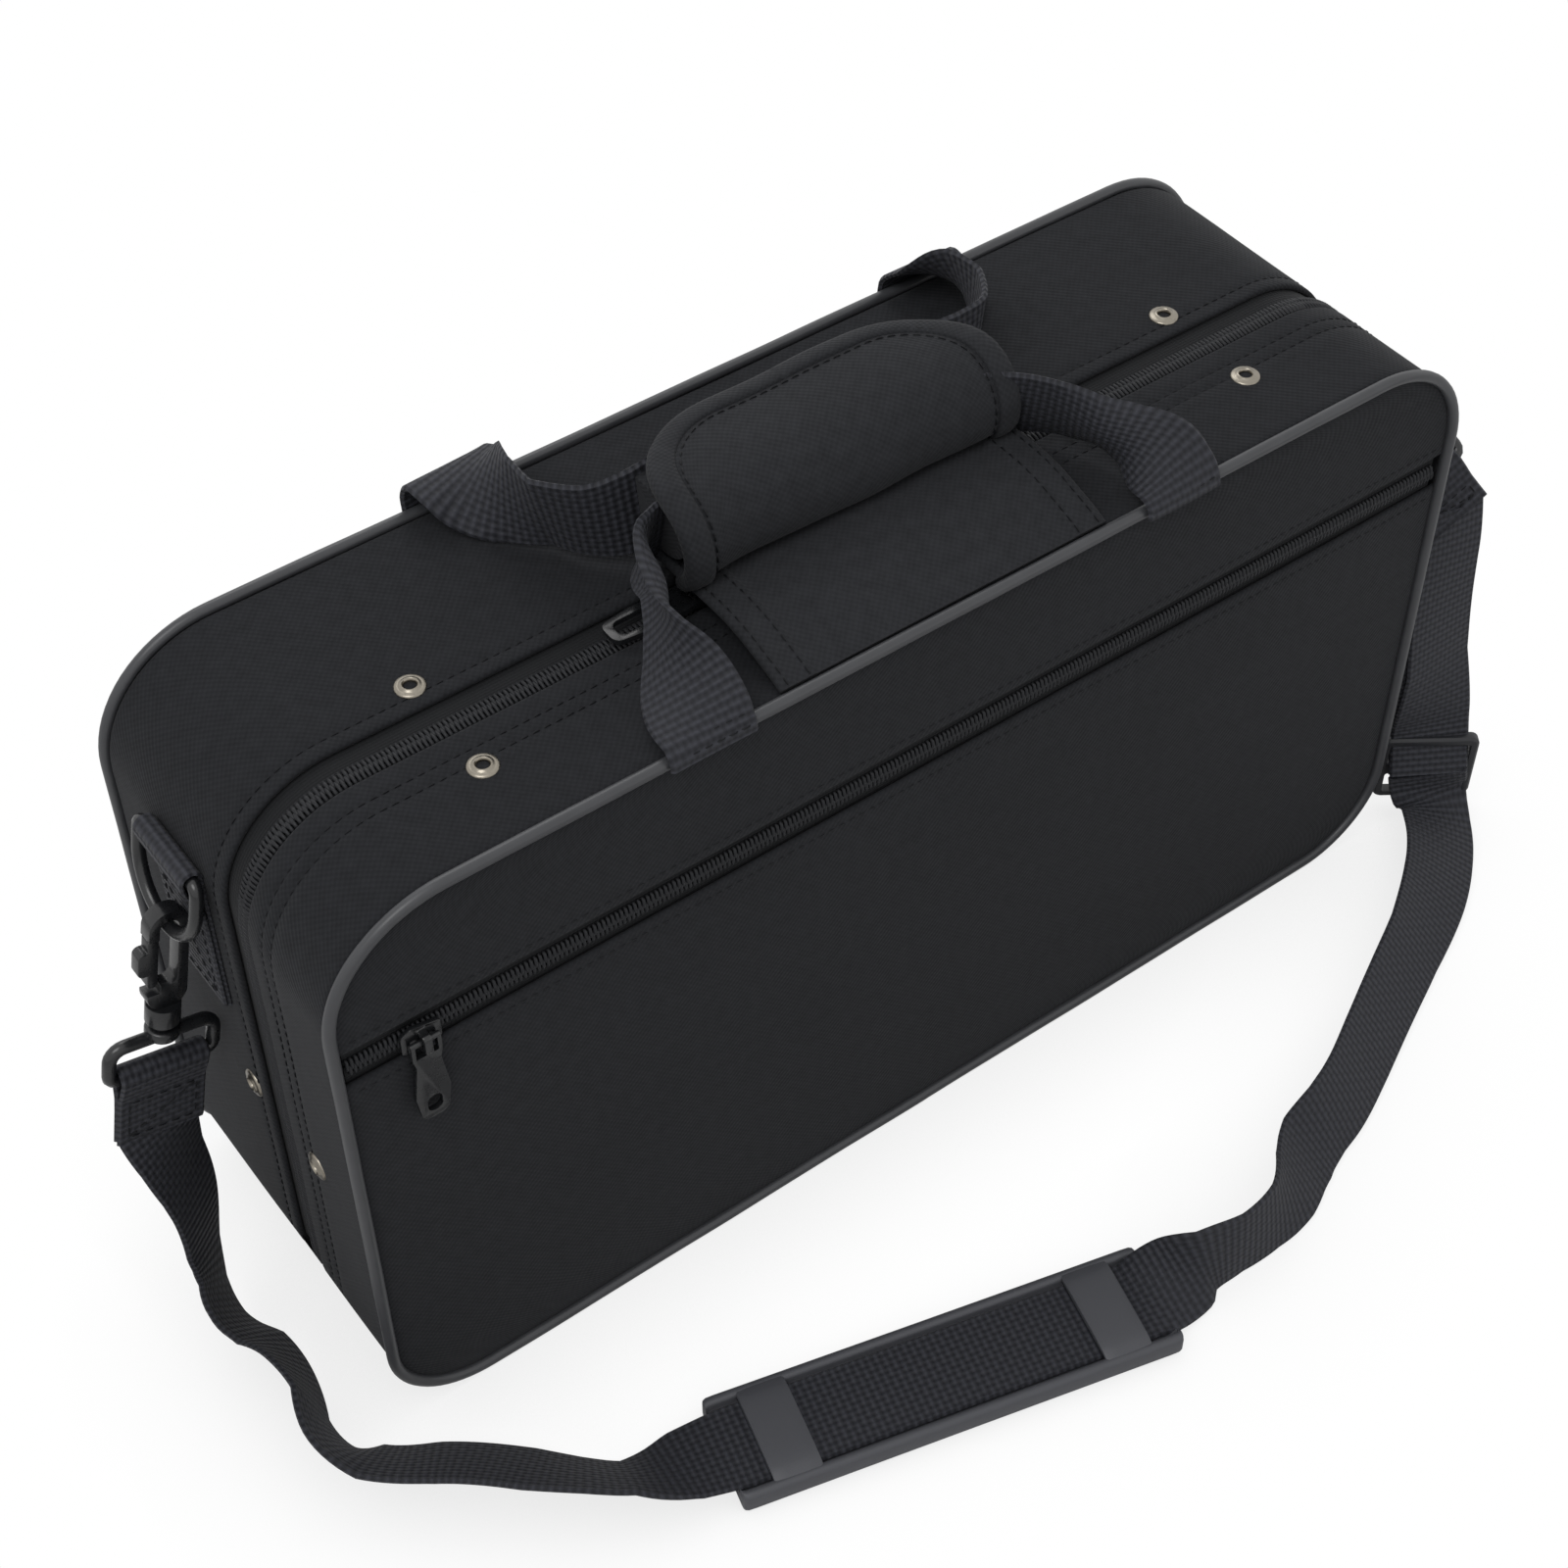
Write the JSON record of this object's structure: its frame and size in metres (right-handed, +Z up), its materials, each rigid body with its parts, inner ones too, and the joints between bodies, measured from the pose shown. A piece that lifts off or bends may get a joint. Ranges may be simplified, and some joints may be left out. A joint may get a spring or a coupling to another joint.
{
  "type": "clarinet case",
  "caption": "Soft-shell case with a zipped hinged lid, pocketed instrument insert, padded carrying handle, zipped front pocket and a detachable shoulder strap.",
  "frame": {"origin": "centre of the case in plan, on the surface that it stands on", "axes": "+Z up, +X along the case's length, -Y the side with the outer pocket"},
  "size_m": [0.433, 0.2286, 0.2285],
  "materials": {
    "case_cloth": "black woven polyester, coated back",
    "lining": "plain black nylon",
    "board": "stiff foam board",
    "plush": "short black plush over foam",
    "foam": "soft foam",
    "piping": "black vinyl piping, satin",
    "zip_tape": "black knitted zip tape",
    "zip_coil": "black nylon coil",
    "rivet_metal": "dull nickel",
    "webbing": "black polypropylene webbing",
    "black_metal": "black enamel",
    "moulded_plastic": "black moulded plastic",
    "pad_rubber": "black moulded rubber"
  },
  "bodies": {
    "base": {"base_gusset": "case_cloth", "back_panel": "case_cloth", "base_board": "board", "back_piping": "piping", "base_insert": "plush", "base_zip_tape": "zip_tape", "base_zip_coil": "zip_coil", "base_rivets": "rivet_metal", "hinge_strip_base": "case_cloth", "back_leg_left": "webbing", "back_leg_right": "webbing", "left_ring_tab": "webbing", "right_ring_tab": "webbing", "strap_left_drop": "webbing", "strap_left": "webbing", "strap_on_pad": "webbing", "strap_right": "webbing", "strap_rise": "webbing", "strap_upper": "webbing", "strap_adjuster": "moulded_plastic", "shoulder_pad": "pad_rubber", "pad_keepers": "pad_rubber"},
    "lid": {"lid_gusset": "case_cloth", "pocket_lining": "lining", "lid_board": "board", "front_piping": "piping", "lid_pad": "plush", "pocket_panel_lower": "case_cloth", "pocket_panel_upper": "case_cloth", "pocket_zip_tape": "zip_tape", "pocket_zip_coil": "zip_coil", "lid_zip_tape": "zip_tape", "lid_zip_coil": "zip_coil", "lid_rivets": "rivet_metal", "hinge_strip_lid": "case_cloth", "front_leg_left": "webbing", "front_leg_right": "webbing"},
    "front_handle": {"grip_wrap": "case_cloth", "grip_foam": "foam", "front_handle_webbing": "webbing"},
    "back_handle": {"back_handle_webbing": "webbing"},
    "flap": {"zip_flap": "case_cloth"},
    "main_slider_left": {"main_slider_left": "black_metal"},
    "main_slider_right": {"main_slider_right": "black_metal"},
    "main_puller_left": {"main_puller_left": "black_metal"},
    "main_puller_right": {"main_puller_right": "black_metal"},
    "pocket_slider": {"pocket_slider": "black_metal"},
    "pocket_puller": {"pocket_puller": "black_metal"},
    "left_clip": {"left_d_ring": "black_metal", "left_hook": "moulded_plastic", "left_swivel_eye": "moulded_plastic", "strap_end_left": "webbing"},
    "left_gate": {"left_hook_gate": "moulded_plastic"},
    "right_clip": {"right_d_ring": "black_metal", "right_hook": "moulded_plastic", "right_swivel_eye": "moulded_plastic", "strap_end_right": "webbing"},
    "right_gate": {"right_hook_gate": "moulded_plastic"}
  },
  "joints": [
    {"name": "lid_hinge", "type": "hinge", "parent": "base", "child": "lid", "pos_m": [0, -0.014, 0.0015], "axis": [1, 0, 0], "range_deg": [0, 175], "deforming": ["strap_left", "strap_right", "strap_on_pad", "shoulder_pad", "pad_keepers"]},
    {"name": "handle_lift", "type": "slide", "parent": "lid", "child": "front_handle", "axis": [0, 0, 1], "range_m": [0, 0.02], "deforming": ["front_leg_left", "front_leg_right", "back_leg_left", "back_leg_right"]},
    {"name": "back_handle_lift", "type": "slide", "parent": "base", "child": "back_handle", "axis": [0, 0, 1], "range_m": [0, 0.02]},
    {"name": "flap_hinge", "type": "hinge", "parent": "lid", "child": "flap", "pos_m": [0, -0.0527, 0.1977], "axis": [1, 0, 0], "range_deg": [0, 15]},
    {"name": "main_slider_left_run", "type": "slide", "parent": "base", "child": "main_slider_left", "axis": [1, 0, 0], "range_m": [-0.094, 0]},
    {"name": "main_slider_right_run", "type": "slide", "parent": "base", "child": "main_slider_right", "axis": [1, 0, 0], "range_m": [0, 0.165]},
    {"name": "main_puller_left_swing", "type": "hinge", "parent": "main_slider_left", "child": "main_puller_left", "pos_m": [-0.046, -0.014, 0.1993], "axis": [0, 1, 0], "range_deg": [0, 25]},
    {"name": "main_puller_right_swing", "type": "hinge", "parent": "main_slider_right", "child": "main_puller_right", "pos_m": [-0.03, -0.014, 0.1993], "axis": [0, -1, 0], "range_deg": [0, 5]},
    {"name": "pocket_slider_run", "type": "slide", "parent": "lid", "child": "pocket_slider", "axis": [1, 0, 0], "range_m": [0, 0.315]},
    {"name": "pocket_puller_swing", "type": "hinge", "parent": "pocket_slider", "child": "pocket_puller", "pos_m": [-0.158, -0.0578, 0.1507], "axis": [-1, 0, 0], "range_deg": [0, 150]},
    {"name": "left_clip_swing", "type": "hinge", "parent": "base", "child": "left_clip", "pos_m": [-0.1831, 0.016, 0.167], "axis": [0, 1, 0], "range_deg": [0, 60]},
    {"name": "left_gate_spring", "type": "hinge", "parent": "left_clip", "child": "left_gate", "pos_m": [-0.19556, 0.016, 0.12784], "axis": [0, 1, 0], "range_deg": [0, 18], "stiffness_Nm_per_rad": 0.06, "springref_deg": -11.46},
    {"name": "right_clip_swing", "type": "hinge", "parent": "base", "child": "right_clip", "pos_m": [0.1831, 0.016, 0.167], "axis": [0, -1, 0], "range_deg": [0, 60]},
    {"name": "right_gate_spring", "type": "hinge", "parent": "right_clip", "child": "right_gate", "pos_m": [0.19657, -0.00993, 0.14183], "axis": [-0.2695, -0.6157, 0.7405], "range_deg": [0, 18], "stiffness_Nm_per_rad": 0.06, "springref_deg": -11.46}
  ],
  "couplings": [
    {"joint": "back_handle_lift", "follows": "handle_lift", "ratio": 1},
    {"joint": "flap_hinge", "follows": "handle_lift", "rad_per_m": 12.4}
  ]
}
